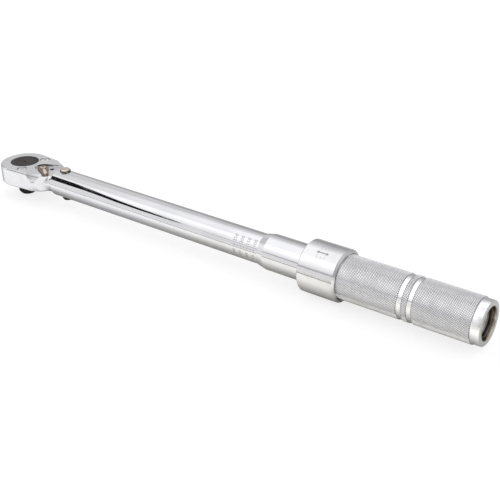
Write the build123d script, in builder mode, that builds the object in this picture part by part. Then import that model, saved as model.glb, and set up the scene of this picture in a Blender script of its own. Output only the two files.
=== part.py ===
from build123d import *
from math import cos, degrees, radians, sin, tan
import os

# Click-type torque wrench, half-inch drive. Millimetres.
# The origin is the centre of the square drive's end face. +X runs along the tube to the handle,
# +Z points up, from the drive to the side with the reversing lever.
# Heights named "..._Z" below are measured from the tube's axis, unless they say otherwise.

AXIS_Z = 22.0  # height of the tube's axis above the drive's end face

# tube
TUBE_RADIUS = 12.7
TUBE_BORE = 11.05
TUBE_FRONT = 47.0
TUBE_REAR = 427.0
TUBE_BEVEL = 0.6

# ratchet head: two circles and the hull round them, running into a round neck
HEAD_FRONT_RADIUS = 22.4
HEAD_REAR_RADIUS = 20.5
HEAD_REAR_X = 23.0
HEAD_TOP_Z = 9.3
HEAD_BOTTOM_Z = -8.0
HEAD_EDGE_RADIUS = 1.8
HEAD_SPAN = 30.0
SHOULDER = [(17.0, 26.5), (24.0, 21.9), (29.0, 19.6), (34.0, 17.7), (39.0, 16.0), (44.0, 14.4)]
NECK_RADIUS = 10.5
NECK_X = 45.0
FLARE_RADIUS = 8.7
SHANK_TAPER_START = 60.0
SHANK_TAPER_END = 110.0
TAIL_RADIUS = 6.5
TAIL_X = 152.0

# pivot between the head's shank and the tube
PIVOT_X = 56.0
PIVOT_RADIUS = 4.3
PIVOT_HALF_LENGTH = 15.1
CLIP_GROOVE_Z = 12.8
CLIP_THICKNESS = 0.6
CLIP_INNER = 3.62
CLIP_OUTER = 4.95
CLIP_OPENING_ANGLE = -21.0

# cover plate and its screws
COVER_INSET = 2.9
COVER_BOTTOM_Z = 7.0
SCREW_PLACES = [(12.2, 14.2), (12.2, -14.2)]
SCREW_SEAT_RADIUS = 4.75
SCREW_SEAT_Z = 7.7
SCREW_HEAD_RADIUS = 4.0
SCREW_HEAD_TOP_Z = 8.95
SCREW_RECESS_Z = 8.2
SCREW_RECESS = (3.6, 0.8)
SCREW_SHANK_RADIUS = 1.75
SCREW_TIP_Z = -2.0

# ratchet gear and drive
TEETH = 36
TIP_RADIUS = 15.0
ROOT_RADIUS = 13.6
GEAR_BOTTOM_Z = -4.7
GEAR_TOP_Z = 6.8
GEAR_CHAMBER_RADIUS = 15.3
CHAMBER_BOTTOM_Z = -4.9
BOSS_RADIUS = 13.1
HUB_RADIUS = 12.0
HUB_BOTTOM_Z = -10.0
RUNNING_GAP = 0.06
SQUARE = 12.7
SQUARE_CORNER = 1.1
SQUARE_END_RADIUS = 6.05
SQUARE_CONE_RADIUS = 9.2
SQUARE_CONE_HEIGHT = 2.7
BOSS_CHAMFER = 0.5
DIMPLE_RADIUS = 1.5
DETENT_RADIUS = 2.38
DETENT_Z = -16.4
DETENT_X = -4.72
DETENT_BORE_END = 2.6

# pawl
PAWL_X = 17.9
PAWL_SWING = 8.0
PAWL_PIN_RADIUS = 1.2
PAWL_TOP_Z = 5.0
PAWL_CHAMBER_TOP_Z = 5.2

# reversing lever, standing in a fan-shaped pocket in the cover
LEVER_X = 25.2
LEVER_REST_ANGLE = -34.0
LEVER_HUB_RADIUS = 5.0
LEVER_TIP_RADIUS = 2.7
LEVER_REACH = 15.4
LEVER_BOTTOM_Z = 7.15
LEVER_TOP_Z = 8.6
LEVER_EDGE_RADIUS = 0.5
RIVET_RADIUS = 3.0
RIVET_TOP_Z = 9.5
RIVET_DIMPLE = 1.3
RIB_START = 6.6
RIB_RADII = (1.4, 1.8)
RIB_TOP_Z = 9.9
RIB_EDGE_RADIUS = 0.7
LEVER_SHAFT_RADIUS = 3.6
LEVER_SCREW_WELL = 4.3
LEVER_SCREW_SEAT_Z = -6.1
LEVER_SCREW_TOP_Z = -6.2
LEVER_SCREW_HEAD = 3.9
LEVER_SCREW_SHANK = 1.4
LEVER_SCREW_END_Z = -3.0
JOURNAL_TOP_Z = -2.6
JOURNAL_RADIUS = 2.4
POCKET_RADIUS = 7.4
POCKET_HALF_ANGLE = 23.0
POCKET_END_X = 46.0
SEAT_REACH = 8.4
SEAT_RADIUS = 2.15
PLUNGER_RADIUS = 1.4
PLUNGER_TIP_CENTRE = 3.5
PLUNGER_BORE_END = 2.2

# tilt block between the shank's tail and the thrust plunger
BLOCK_FRONT_X = 149.0
BLOCK_REAR_X = 158.0
BLOCK_RADIUS = 2.45
SOCKET_RADIUS = 2.55
SOCKET_RELIEF_ANGLE = 32.0
THRUST_FRONT_X = 155.0
SPRING_FRONT_X = 172.0
SPRING_REAR_X = 329.5
SPRING_MEAN_RADIUS = 8.2
SPRING_WIRE_RADIUS = 2.2
SPRING_TURNS = 16
PILOT_RADIUS = 5.6
BALL_X = 340.0
BALL_RADIUS = 3.2

# load screw and nut: 10 threads to the inch
THREAD_PITCH = 2.54
THREAD_RADIUS = 7.0
THREAD_DEPTH = 1.3
THREAD_START = 372.0
THREAD_END = 456.0
SCREW_FRONT = 341.5
NUT_FRONT = 402.0
NUT_REAR = 426.0
NUT_PIN_X = 414.0

# handle
THIMBLE_FRONT = 283.2
THIMBLE_BEVEL_END = 289.6
THIMBLE_RADIUS = 14.8
THIMBLE_BORE = 12.85
THIMBLE_REAR = 372.0
GRIP_FRONT = 352.0
GRIP_RADIUS = 17.75
GRIP_KNURL_END = 465.3
GRIP_END = 472.2
GRIP_BAND_RADIUS = 17.0
GRIP_GROOVES = [(408.8, 412.4), (417.0, 420.5)]
GRIP_GROOVE_RADIUS = 17.15
END_BORE = 12.6
PLUG_FRONT = 458.5
PLUG_REAR = 466.0
PLUG_BORE = 5.5
PLUG_DISH = (7.5, 8.3, 10.6, 11.2)
PLUG_DISH_DEPTH = 0.8

# pawl, and the chamber it rocks in
PAWL_CHAMBER = [(11, 10.4), (13.2, 12.0), (16.5, 12.8), (19.5, 11.0), (22.7, 6.0), (22.7, 4.3)]
PAWL_CHAMBER_NECK = 4.3
PAWL_OUTLINE = [(12.1, 9.0), (14.9, 11.4), (17.5, 10.6), (21.3, 5.2)]

# lock ring and its balls
RING_FRONT = 325.5
RING_REAR = 358.6
RING_RADIUS = 21.0
RING_BORE = 14.95
RING_SKIRT_BORE = 18.2
LOCK_BALL_X = 339.0
LOCK_BALL_RADIUS = 2.0
LOCK_BALL_ORBIT = 14.73
CONE_SLOPE = 0.2
CONE_RADIUS_AT_BALL = 16.8
RING_FRONT_BORE = 16.8
LOCK_BALLS = 3

AXIS_PLANE = Plane(origin=(0, 0, AXIS_Z), x_dir=(1, 0, 0), z_dir=(0, -1, 0))
TUBE_AXIS = Axis((0, 0, AXIS_Z), (1, 0, 0))


def level(z):
    """The horizontal plane at a height measured from the tube's axis."""
    return Plane.XY.offset(AXIS_Z + z)


def turned(*outline, mode=Mode.ADD):
    """Revolve a closed outline of (x, radius) points about the tube's axis."""
    with BuildSketch(AXIS_PLANE) as half_section:
        with BuildLine():
            Polyline(*outline, close=True)
        make_face()
    revolve(half_section.sketch, axis=TUBE_AXIS, mode=mode)


def sleeve(front, rear, inner, outer, mode=Mode.ADD):
    """A plain ring about the tube's axis."""
    turned((front, inner), (rear, inner), (rear, outer), (front, outer), mode=mode)


def post(place, radius, bottom, top, mode=Mode.ADD):
    """An upright cylinder between two heights."""
    with BuildSketch(level(bottom)) as disc:
        with Locations(place):
            Circle(radius)
    extrude(disc.sketch, amount=top - bottom, mode=mode)


def coil(start, direction, length, mean_radius, wire_radius, turns):
    """A round-wire coil about the line from start along direction."""
    with BuildLine() as path:
        Helix(pitch=length / turns, height=length, radius=mean_radius, center=start, direction=direction)
    with BuildSketch(Plane(origin=path.line @ 0, z_dir=path.line % 0)) as wire:
        Circle(wire_radius)
    sweep(wire.sketch, path=path.line, is_frenet=True)


def polar(radius, angle):
    """A point at a radius and an angle in degrees."""
    return (radius * cos(radians(angle)), radius * sin(radians(angle)))


def gear_points(grow=0.0):
    """Corners of the ratchet gear, each flank moved outward by about grow."""
    pitch_angle = 360 / TEETH
    widen = degrees(1.2 * grow / TIP_RADIUS)
    points = []
    for tooth in range(TEETH):
        middle = tooth * pitch_angle
        points.append(polar(ROOT_RADIUS + grow, middle - 0.38 * pitch_angle - widen))
        points.append(polar(TIP_RADIUS + grow, middle - 0.08 * pitch_angle - widen))
        points.append(polar(TIP_RADIUS + grow, middle + 0.08 * pitch_angle + widen))
        points.append(polar(ROOT_RADIUS + grow, middle + 0.38 * pitch_angle + widen))
    return points


def pear(inset=0.0):
    """The head's plan outline, inset from its edge."""
    Circle(HEAD_FRONT_RADIUS - inset)
    with Locations((HEAD_REAR_X, 0)):
        Circle(HEAD_REAR_RADIUS - inset)
    make_hull()


def lever_pocket():
    """Cut the fan-shaped pocket that the reversing lever swings in."""
    touch = POCKET_RADIUS * cos(radians(POCKET_HALF_ANGLE))
    start_x = LEVER_X - POCKET_RADIUS * sin(radians(POCKET_HALF_ANGLE))
    end_y = touch + (POCKET_END_X - start_x) * tan(radians(POCKET_HALF_ANGLE))
    with BuildSketch(level(COVER_BOTTOM_Z)) as pocket:
        with Locations((LEVER_X, 0)):
            Circle(POCKET_RADIUS)
        with BuildLine():
            Polyline(
                (start_x, touch), (POCKET_END_X, end_y), (POCKET_END_X, -end_y), (start_x, -touch), close=True
            )
        make_face()
    extrude(pocket.sketch, amount=10, mode=Mode.SUBTRACT)


def block_socket(centre_x, side):
    """Cut the round socket for one end of the tilt block, flared so that the block can tilt."""
    flare = 5.0
    half = SOCKET_RADIUS + flare * tan(radians(SOCKET_RELIEF_ANGLE))
    with BuildSketch(level(-TUBE_RADIUS)) as socket:
        with Locations((centre_x, 0)):
            Circle(SOCKET_RADIUS)
        with BuildLine():
            Polyline(
                (centre_x, SOCKET_RADIUS),
                (centre_x + side * flare, half),
                (centre_x + side * flare, -half),
                (centre_x, -SOCKET_RADIUS),
                close=True,
            )
        make_face()
    extrude(socket.sketch, amount=2 * TUBE_RADIUS, mode=Mode.SUBTRACT)


def snap_ring(inner, outer, opening, opening_angle):
    """Sketch of an open ring, its gap at an angle."""
    Circle(outer)
    Circle(inner, mode=Mode.SUBTRACT)
    with Locations(Location(polar((inner + outer) / 2, opening_angle), opening_angle)):
        Rectangle(2 * (outer - inner), opening, mode=Mode.SUBTRACT)


def save(piece, name):
    """Label a finished piece and write its STEP file."""
    piece.part.label = name
    export_step(piece.part, f"parts/{name}.step")


os.makedirs("parts", exist_ok=True)

# tube: the wrench's body, with the hole for the pivot pin and two for the nut's pins
with BuildPart() as wrench_tube:
    turned(
        (TUBE_FRONT, TUBE_BORE),
        (TUBE_REAR, TUBE_BORE),
        (TUBE_REAR, TUBE_RADIUS),
        (TUBE_FRONT + TUBE_BEVEL, TUBE_RADIUS),
        (TUBE_FRONT, TUBE_RADIUS - TUBE_BEVEL),
    )
    post((PIVOT_X, 0), PIVOT_RADIUS, -20, 20, mode=Mode.SUBTRACT)
    with BuildSketch(AXIS_PLANE):
        with Locations((NUT_PIN_X, 0)):
            Circle(1.5)
    extrude(amount=20, both=True, mode=Mode.SUBTRACT)
save(wrench_tube, "wrench_tube")

# load nut: fixed in the tube's rear end
with BuildPart() as load_nut:
    sleeve(NUT_FRONT, NUT_REAR, THREAD_RADIUS + 0.05, TUBE_BORE)
    with BuildSketch(AXIS_PLANE):
        with Locations((NUT_PIN_X, 0)):
            Circle(1.5)
    extrude(amount=20, both=True, mode=Mode.SUBTRACT)
save(load_nut, "load_nut")

# nut pins: hold the nut in the tube, one from each side
with BuildPart() as nut_pins:
    with BuildSketch(Plane(origin=(NUT_PIN_X, 8.0, AXIS_Z), z_dir=(0, 1, 0))):
        Circle(1.5)
    extrude(amount=4.5)
    mirror(about=Plane.XZ)
save(nut_pins, "nut_pins")

# pivot pin: carries the head in the tube
with BuildPart() as pivot_pin:
    post((PIVOT_X, 0), PIVOT_RADIUS, -PIVOT_HALF_LENGTH, PIVOT_HALF_LENGTH)
    ends = pivot_pin.edges().filter_by(GeomType.CIRCLE)
    chamfer(ends, 0.6)
    for groove_bottom in (CLIP_GROOVE_Z, -CLIP_GROOVE_Z - CLIP_THICKNESS):
        with BuildSketch(level(groove_bottom)):
            with Locations((PIVOT_X, 0)):
                Circle(PIVOT_RADIUS + 1)
                Circle(CLIP_INNER, mode=Mode.SUBTRACT)
        extrude(amount=CLIP_THICKNESS, mode=Mode.SUBTRACT)
save(pivot_pin, "pivot_pin")

# pivot clips: snap rings in the pin's grooves, above and below the tube
with BuildPart() as pivot_clips:
    for clip_bottom in (CLIP_GROOVE_Z, -CLIP_GROOVE_Z - CLIP_THICKNESS):
        with BuildSketch(Plane(origin=(PIVOT_X, 0, AXIS_Z + clip_bottom))):
            snap_ring(CLIP_INNER, CLIP_OUTER, 1.8, CLIP_OPENING_ANGLE)
        extrude(amount=CLIP_THICKNESS)
save(pivot_clips, "pivot_clips")

# neck: from the flat head to the round shank, its top and bottom ramped
FLARE_START_X = NECK_X - FLARE_RADIUS * (NECK_X - HEAD_REAR_X) / (HEAD_REAR_RADIUS + FLARE_RADIUS)
FLARE_START_RADIUS = HEAD_REAR_RADIUS * (NECK_RADIUS + FLARE_RADIUS) / (HEAD_REAR_RADIUS + FLARE_RADIUS)
with BuildPart() as neck_blank:
    with BuildSketch(AXIS_PLANE):
        with BuildLine():
            RadiusArc(
                (FLARE_START_X, FLARE_START_RADIUS), (NECK_X, NECK_RADIUS), -FLARE_RADIUS, short_sagitta=True
            )
            Polyline(
                (NECK_X, NECK_RADIUS),
                (NECK_X + 1, NECK_RADIUS),
                (NECK_X + 1, 0),
                (FLARE_START_X, 0),
                (FLARE_START_X, FLARE_START_RADIUS),
            )
        make_face()
    revolve(axis=TUBE_AXIS)
    with BuildSketch(AXIS_PLANE):
        with BuildLine():
            Polyline((FLARE_START_X, 8.6), (43, 10.6), (43, 20), (FLARE_START_X, 20), close=True)
        make_face()
        with BuildLine():
            Polyline((FLARE_START_X, -7.2), (44, -10.6), (44, -20), (FLARE_START_X, -20), close=True)
        make_face()
    extrude(amount=30, both=True, mode=Mode.SUBTRACT)

# ratchet head: pear-shaped forging and, in one piece with it, the lever arm inside the tube
with BuildPart() as ratchet_head:
    with BuildSketch(level(HEAD_BOTTOM_Z)):
        pear()
    extrude(amount=HEAD_TOP_Z - HEAD_BOTTOM_Z)
    rims = ratchet_head.edges().group_by(Axis.Z)
    fillet(rims[0] + rims[-1], HEAD_EDGE_RADIUS)
    # shoulders turned down towards the neck
    with BuildSketch(AXIS_PLANE):
        with BuildLine():
            Spline(*SHOULDER)
            Polyline(
                SHOULDER[-1],
                (SHOULDER[-1][0], 0),
                (-HEAD_SPAN, 0),
                (-HEAD_SPAN, HEAD_SPAN),
                (SHOULDER[0][0], HEAD_SPAN),
                SHOULDER[0],
            )
        make_face()
    revolve(axis=TUBE_AXIS, mode=Mode.INTERSECT)
    add(neck_blank.part)
    turned(
        (NECK_X, 0),
        (NECK_X, NECK_RADIUS),
        (SHANK_TAPER_START, NECK_RADIUS),
        (SHANK_TAPER_END, TAIL_RADIUS),
        (TAIL_X, TAIL_RADIUS),
        (TAIL_X, 0),
    )
    # recess for the cover, and the pocket that runs out over the neck
    with BuildSketch(level(COVER_BOTTOM_Z)):
        pear(COVER_INSET)
    extrude(amount=5, mode=Mode.SUBTRACT)
    lever_pocket()
    # gear chamber and the bore for the gear's hub
    post((0, 0), GEAR_CHAMBER_RADIUS, CHAMBER_BOTTOM_Z, COVER_BOTTOM_Z, mode=Mode.SUBTRACT)
    post((0, 0), HUB_RADIUS + RUNNING_GAP, HEAD_BOTTOM_Z - 1, CHAMBER_BOTTOM_Z, mode=Mode.SUBTRACT)
    # pawl chamber, under a roof
    with BuildSketch(level(CHAMBER_BOTTOM_Z)):
        with BuildLine():
            Polyline(
                *PAWL_CHAMBER,
                (LEVER_X, PAWL_CHAMBER_NECK),
                (LEVER_X, -PAWL_CHAMBER_NECK),
                *[(x, -y) for x, y in reversed(PAWL_CHAMBER)],
                close=True,
            )
        make_face()
        with Locations((LEVER_X, 0)):
            Circle(PAWL_CHAMBER_NECK)
    extrude(amount=PAWL_CHAMBER_TOP_Z - CHAMBER_BOTTOM_Z, mode=Mode.SUBTRACT)
    post((PAWL_X, 0), PAWL_PIN_RADIUS, HEAD_BOTTOM_Z - 1, 6.2, mode=Mode.SUBTRACT)
    # lever shaft, its lower journal and its screw
    post((LEVER_X, 0), LEVER_SHAFT_RADIUS + RUNNING_GAP, 0, COVER_BOTTOM_Z + 1, mode=Mode.SUBTRACT)
    post((LEVER_X, 0), JOURNAL_RADIUS + RUNNING_GAP, HEAD_BOTTOM_Z - 1, 0, mode=Mode.SUBTRACT)
    post((LEVER_X, 0), LEVER_SCREW_WELL, HEAD_BOTTOM_Z - 1, LEVER_SCREW_SEAT_Z, mode=Mode.SUBTRACT)
    for side in (1, -1):
        seat = polar(SEAT_REACH, side * LEVER_REST_ANGLE)
        post((LEVER_X + seat[0], seat[1]), SEAT_RADIUS, 5.0, COVER_BOTTOM_Z + 1, mode=Mode.SUBTRACT)
    for place in SCREW_PLACES:
        post(place, SCREW_SHANK_RADIUS, SCREW_TIP_Z - 0.5, HEAD_TOP_Z, mode=Mode.SUBTRACT)
    post((PIVOT_X, 0), PIVOT_RADIUS + RUNNING_GAP, -20, 20, mode=Mode.SUBTRACT)
    block_socket(BLOCK_FRONT_X, 1)
save(ratchet_head, "ratchet_head")

# cover plate: closes the gear chamber, flush with the head's rim
with BuildPart() as cover_plate:
    with BuildSketch(level(COVER_BOTTOM_Z)):
        pear(COVER_INSET)
        Circle(BOSS_RADIUS + RUNNING_GAP, mode=Mode.SUBTRACT)
    extrude(amount=HEAD_TOP_Z - COVER_BOTTOM_Z)
    lever_pocket()
    for place in SCREW_PLACES:
        post(place, SCREW_SHANK_RADIUS + 0.1, 0, HEAD_TOP_Z, mode=Mode.SUBTRACT)
        post(place, SCREW_SEAT_RADIUS, SCREW_SEAT_Z, HEAD_TOP_Z + 1, mode=Mode.SUBTRACT)
save(cover_plate, "cover_plate")

# cover screws: pan heads with a cross recess, in counterbores
with BuildPart() as cover_screws:
    for place in SCREW_PLACES:
        post(place, SCREW_HEAD_RADIUS, SCREW_SEAT_Z, SCREW_HEAD_TOP_Z)
    crowns = cover_screws.edges().group_by(Axis.Z)[-1]
    fillet(crowns, 0.7)
    for place in SCREW_PLACES:
        post(place, SCREW_SHANK_RADIUS, SCREW_TIP_Z, SCREW_SEAT_Z)
    with BuildSketch(level(SCREW_RECESS_Z)):
        with Locations(*SCREW_PLACES):
            Rectangle(*SCREW_RECESS)
            Rectangle(*reversed(SCREW_RECESS))
    extrude(amount=2, mode=Mode.SUBTRACT)
save(cover_screws, "cover_screws")

# pawl pin
with BuildPart() as pawl_pin:
    post((PAWL_X, 0), PAWL_PIN_RADIUS, HEAD_BOTTOM_Z + 0.1, 6.1)
save(pawl_pin, "pawl_pin")

# detent seats: hardened dimpled plugs in the pocket's floor, one for each lever position
with BuildPart() as detent_seats:
    for side in (1, -1):
        seat = polar(SEAT_REACH, side * LEVER_REST_ANGLE)
        post((LEVER_X + seat[0], seat[1]), SEAT_RADIUS, 5.0, COVER_BOTTOM_Z - 0.1)
        post((LEVER_X + seat[0], seat[1]), 1.1, 6.3, COVER_BOTTOM_Z, mode=Mode.SUBTRACT)
save(detent_seats, "detent_seats")

# drive gear: ratchet teeth, top boss, bottom hub and the square, in one piece
with BuildPart() as drive_gear:
    with BuildSketch(level(GEAR_BOTTOM_Z)):
        with BuildLine():
            Polyline(*gear_points(), close=True)
        make_face()
    extrude(amount=GEAR_TOP_Z - GEAR_BOTTOM_Z)
    post((0, 0), BOSS_RADIUS, GEAR_TOP_Z, HEAD_TOP_Z)
    boss_rim = drive_gear.edges().group_by(Axis.Z)[-1]
    chamfer(boss_rim, BOSS_CHAMFER)
    post((0, 0), HUB_RADIUS, HUB_BOTTOM_Z, GEAR_BOTTOM_Z)
    with BuildSketch(Plane.XY):
        RectangleRounded(SQUARE, SQUARE, SQUARE_CORNER)
    extrude(amount=AXIS_Z + HUB_BOTTOM_Z)
    # turned cone on the square's end
    with BuildSketch(AXIS_PLANE):
        with BuildLine():
            Polyline(
                (SQUARE_END_RADIUS, -AXIS_Z),
                (SQUARE_CONE_RADIUS, -AXIS_Z),
                (SQUARE_CONE_RADIUS, SQUARE_CONE_HEIGHT - AXIS_Z),
                close=True,
            )
        make_face()
    revolve(axis=Axis.Z, mode=Mode.SUBTRACT)
    # centre-drilled dimple in the boss
    with BuildSketch(AXIS_PLANE):
        with BuildLine():
            Polyline(
                (0, HEAD_TOP_Z), (DIMPLE_RADIUS, HEAD_TOP_Z), (0, HEAD_TOP_Z - DIMPLE_RADIUS), close=True
            )
        make_face()
    revolve(axis=Axis.Z, mode=Mode.SUBTRACT)
    # blind hole for the socket-retaining ball and its spring
    with BuildSketch(Plane(origin=(DETENT_BORE_END, 0, AXIS_Z + DETENT_Z), z_dir=(-1, 0, 0))):
        Circle(DETENT_RADIUS + 0.05)
    extrude(amount=SQUARE, mode=Mode.SUBTRACT)
save(drive_gear, "drive_gear")

# socket-retaining ball and its spring, in the square's front face
with BuildPart() as detent_ball:
    with Locations((DETENT_X, 0, AXIS_Z + DETENT_Z)):
        Sphere(DETENT_RADIUS)
save(detent_ball, "detent_ball")

with BuildPart() as detent_spring:
    coil((DETENT_X + DETENT_RADIUS + 0.3, 0, AXIS_Z + DETENT_Z), (1, 0, 0), 4.3, 1.6, 0.25, 5)
save(detent_spring, "detent_spring")

# reversing lever: arm, hub and shaft, turned to its rest angle
LEVER_DIRECTION = polar(1, LEVER_REST_ANGLE)
LEVER_PLANE = Plane(origin=(LEVER_X, 0, AXIS_Z), x_dir=(*LEVER_DIRECTION, 0), z_dir=(0, 0, 1))
with BuildPart() as reversing_lever:
    with BuildSketch(LEVER_PLANE.offset(LEVER_BOTTOM_Z)):
        Circle(LEVER_HUB_RADIUS)
        with Locations((LEVER_REACH, 0)):
            Circle(LEVER_TIP_RADIUS)
        make_hull()
    extrude(amount=LEVER_TOP_Z - LEVER_BOTTOM_Z)
    arm_rim = reversing_lever.edges().group_by(Axis.Z)[-1]
    fillet(arm_rim, LEVER_EDGE_RADIUS)
    # riveted hub with a hollow in its middle
    post((LEVER_X, 0), RIVET_RADIUS, LEVER_BOTTOM_Z, RIVET_TOP_Z)
    rivet_rim = reversing_lever.edges().group_by(Axis.Z)[-1]
    fillet(rivet_rim, RIB_EDGE_RADIUS)
    post((LEVER_X, 0), RIVET_DIMPLE, RIVET_TOP_Z - 0.5, RIVET_TOP_Z + 1, mode=Mode.SUBTRACT)
    # thumb rib along the arm
    with BuildSketch(LEVER_PLANE.offset(LEVER_BOTTOM_Z)):
        with Locations((RIB_START, 0)):
            Circle(RIB_RADII[0])
        with Locations((LEVER_REACH, 0)):
            Circle(RIB_RADII[1])
        make_hull()
    extrude(amount=RIB_TOP_Z - LEVER_BOTTOM_Z)
    rib_rim = reversing_lever.edges().group_by(Axis.Z)[-1]
    fillet(rib_rim, RIB_EDGE_RADIUS)
    post((LEVER_X, 0), LEVER_SHAFT_RADIUS, -2.6, LEVER_BOTTOM_Z)
    post((LEVER_X, 0), JOURNAL_RADIUS, LEVER_SCREW_TOP_Z, JOURNAL_TOP_Z)
    post((LEVER_X, 0), 1.4, -7, -3, mode=Mode.SUBTRACT)
    with BuildSketch(
        Plane(
            origin=LEVER_PLANE.from_local_coords((PLUNGER_BORE_END, 0, 0.2)),
            z_dir=(-LEVER_DIRECTION[0], -LEVER_DIRECTION[1], 0),
        )
    ):
        Circle(PLUNGER_RADIUS + 0.05)
    extrude(amount=PLUNGER_BORE_END + LEVER_SHAFT_RADIUS + 1, mode=Mode.SUBTRACT)
save(reversing_lever, "reversing_lever")

# lever screw: holds the lever from below, its head in the head's counterbore
with BuildPart() as lever_screw:
    post((LEVER_X, 0), LEVER_SCREW_HEAD, HEAD_BOTTOM_Z + 0.2, LEVER_SCREW_TOP_Z)
    post((LEVER_X, 0), LEVER_SCREW_SHANK, LEVER_SCREW_TOP_Z, LEVER_SCREW_END_Z)
    with BuildSketch(level(HEAD_BOTTOM_Z)):
        with Locations((LEVER_X, 0)):
            Rectangle(6.0, 0.9)
    extrude(amount=0.9, mode=Mode.SUBTRACT)
save(lever_screw, "lever_screw")

# pawl plunger and spring: in the lever's shaft, pointing away from its arm
with BuildPart() as pawl_plunger:
    with BuildSketch(
        Plane(origin=LEVER_PLANE.from_local_coords((-PLUNGER_TIP_CENTRE, 0, 0.2)), z_dir=(*LEVER_DIRECTION, 0))
    ):
        Circle(PLUNGER_RADIUS)
    extrude(amount=PLUNGER_TIP_CENTRE - 0.6)
    with Locations(LEVER_PLANE.from_local_coords((-PLUNGER_TIP_CENTRE, 0, 0.2))):
        Sphere(PLUNGER_RADIUS)
save(pawl_plunger, "pawl_plunger")

with BuildPart() as pawl_spring:
    coil(LEVER_PLANE.from_local_coords((-0.3, 0, 0.2)), (*LEVER_DIRECTION, 0), 2.2, 1.0, 0.2, 4)
save(pawl_spring, "pawl_spring")

# pawl: a crescent that rocks on its pin, toothed where the gear reaches it
PAWL_PLANE = Plane(origin=(PAWL_X, 0, AXIS_Z), x_dir=(*polar(1, PAWL_SWING), 0), z_dir=(0, 0, 1))
with BuildPart() as pawl:
    with BuildSketch(PAWL_PLANE.offset(GEAR_BOTTOM_Z)):
        with BuildLine():
            half = PAWL_OUTLINE
            corners = half + [(x, -y) for x, y in reversed(half)]
            Polyline(*[(x - PAWL_X, y) for x, y in corners], close=True)
        make_face()
        with Locations((-PAWL_X, 0)):
            Circle(TIP_RADIUS + 0.1, mode=Mode.SUBTRACT)
        with Locations((23.3 - PAWL_X, 0)):
            Circle(3.15, mode=Mode.SUBTRACT)
        Circle(PAWL_PIN_RADIUS + RUNNING_GAP, mode=Mode.SUBTRACT)
        for step in range(-4, 5):
            swing = step * PAWL_SWING / 4
            centre = polar(-PAWL_X, -swing)
            with Locations(Location((*centre, 0), (0, 0, -swing))):
                Polygon(*gear_points(0.08), align=None, mode=Mode.SUBTRACT)
    extrude(amount=PAWL_TOP_Z - GEAR_BOTTOM_Z)
save(pawl, "pawl")

# tilt block: a strut with round ends, one in the tail's socket and one in the plunger's
with BuildPart() as tilt_block:
    with BuildSketch(level(-6)):
        with Locations((BLOCK_FRONT_X, 0), (BLOCK_REAR_X, 0)):
            Circle(BLOCK_RADIUS)
        with Locations(((BLOCK_FRONT_X + BLOCK_REAR_X) / 2, 0)):
            Rectangle(BLOCK_REAR_X - BLOCK_FRONT_X, 3.0)
    extrude(amount=12)
save(tilt_block, "tilt_block")

# thrust plunger: slides in the tube between the tilt block and the main spring
with BuildPart() as thrust_plunger:
    turned(
        (THRUST_FRONT_X, 0),
        (THRUST_FRONT_X, 9.9),
        (THRUST_FRONT_X + 1, 10.95),
        (SPRING_FRONT_X, 10.95),
        (SPRING_FRONT_X, PILOT_RADIUS),
        (SPRING_FRONT_X + 7, PILOT_RADIUS),
        (SPRING_FRONT_X + 8, PILOT_RADIUS - 1),
        (SPRING_FRONT_X + 8, 0),
    )
    block_socket(BLOCK_REAR_X, -1)
save(thrust_plunger, "thrust_plunger")

# main spring
with BuildPart() as main_spring:
    inset = SPRING_WIRE_RADIUS + 0.1
    coil(
        (SPRING_FRONT_X + inset, 0, AXIS_Z),
        (1, 0, 0),
        SPRING_REAR_X - SPRING_FRONT_X - 2 * inset,
        SPRING_MEAN_RADIUS,
        SPRING_WIRE_RADIUS,
        SPRING_TURNS,
    )
save(main_spring, "main_spring")

# spring seat and the ball that lets the load screw turn against it
with BuildPart() as spring_seat:
    turned(
        (SPRING_REAR_X, 0),
        (SPRING_REAR_X - 8, 0),
        (SPRING_REAR_X - 8, PILOT_RADIUS - 1),
        (SPRING_REAR_X - 7, PILOT_RADIUS),
        (SPRING_REAR_X, PILOT_RADIUS),
        (SPRING_REAR_X, 10.95),
        (BALL_X - 2, 10.95),
        (BALL_X - 2, BALL_RADIUS + 0.1),
        (BALL_X - BALL_RADIUS - 0.05, BALL_RADIUS + 0.1),
        (BALL_X - BALL_RADIUS - 0.05, 0),
    )
save(spring_seat, "spring_seat")

with BuildPart() as thrust_ball:
    with Locations((BALL_X, 0, AXIS_Z)):
        Sphere(BALL_RADIUS)
save(thrust_ball, "thrust_ball")

# load screw: its thread is a row of plain V grooves; hollow at the rear for the calibration screw
with BuildPart() as load_screw:
    thread = []
    for turn in range(int((THREAD_END - THREAD_START - 2) / THREAD_PITCH)):
        groove = THREAD_START + 1 + turn * THREAD_PITCH
        thread.append((groove, THREAD_RADIUS))
        thread.append((groove + 0.5 * THREAD_PITCH, THREAD_RADIUS - THREAD_DEPTH))
        thread.append((groove + THREAD_PITCH - 0.2, THREAD_RADIUS))
    pocket_end = BALL_X + BALL_RADIUS + 0.1
    turned(
        (pocket_end, 0),
        (pocket_end, BALL_RADIUS + 0.1),
        (SCREW_FRONT, BALL_RADIUS + 0.1),
        (SCREW_FRONT, 6.0),
        (THREAD_START, 6.0),
        (THREAD_START, THREAD_RADIUS),
        *thread,
        (THREAD_END, THREAD_RADIUS),
        (THREAD_END, PLUG_BORE),
        (PLUG_REAR, PLUG_BORE),
        (PLUG_REAR, 3.0),
        (PLUG_REAR - 14, 3.0),
        (PLUG_REAR - 14, 0),
    )
save(load_screw, "load_screw")

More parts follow.
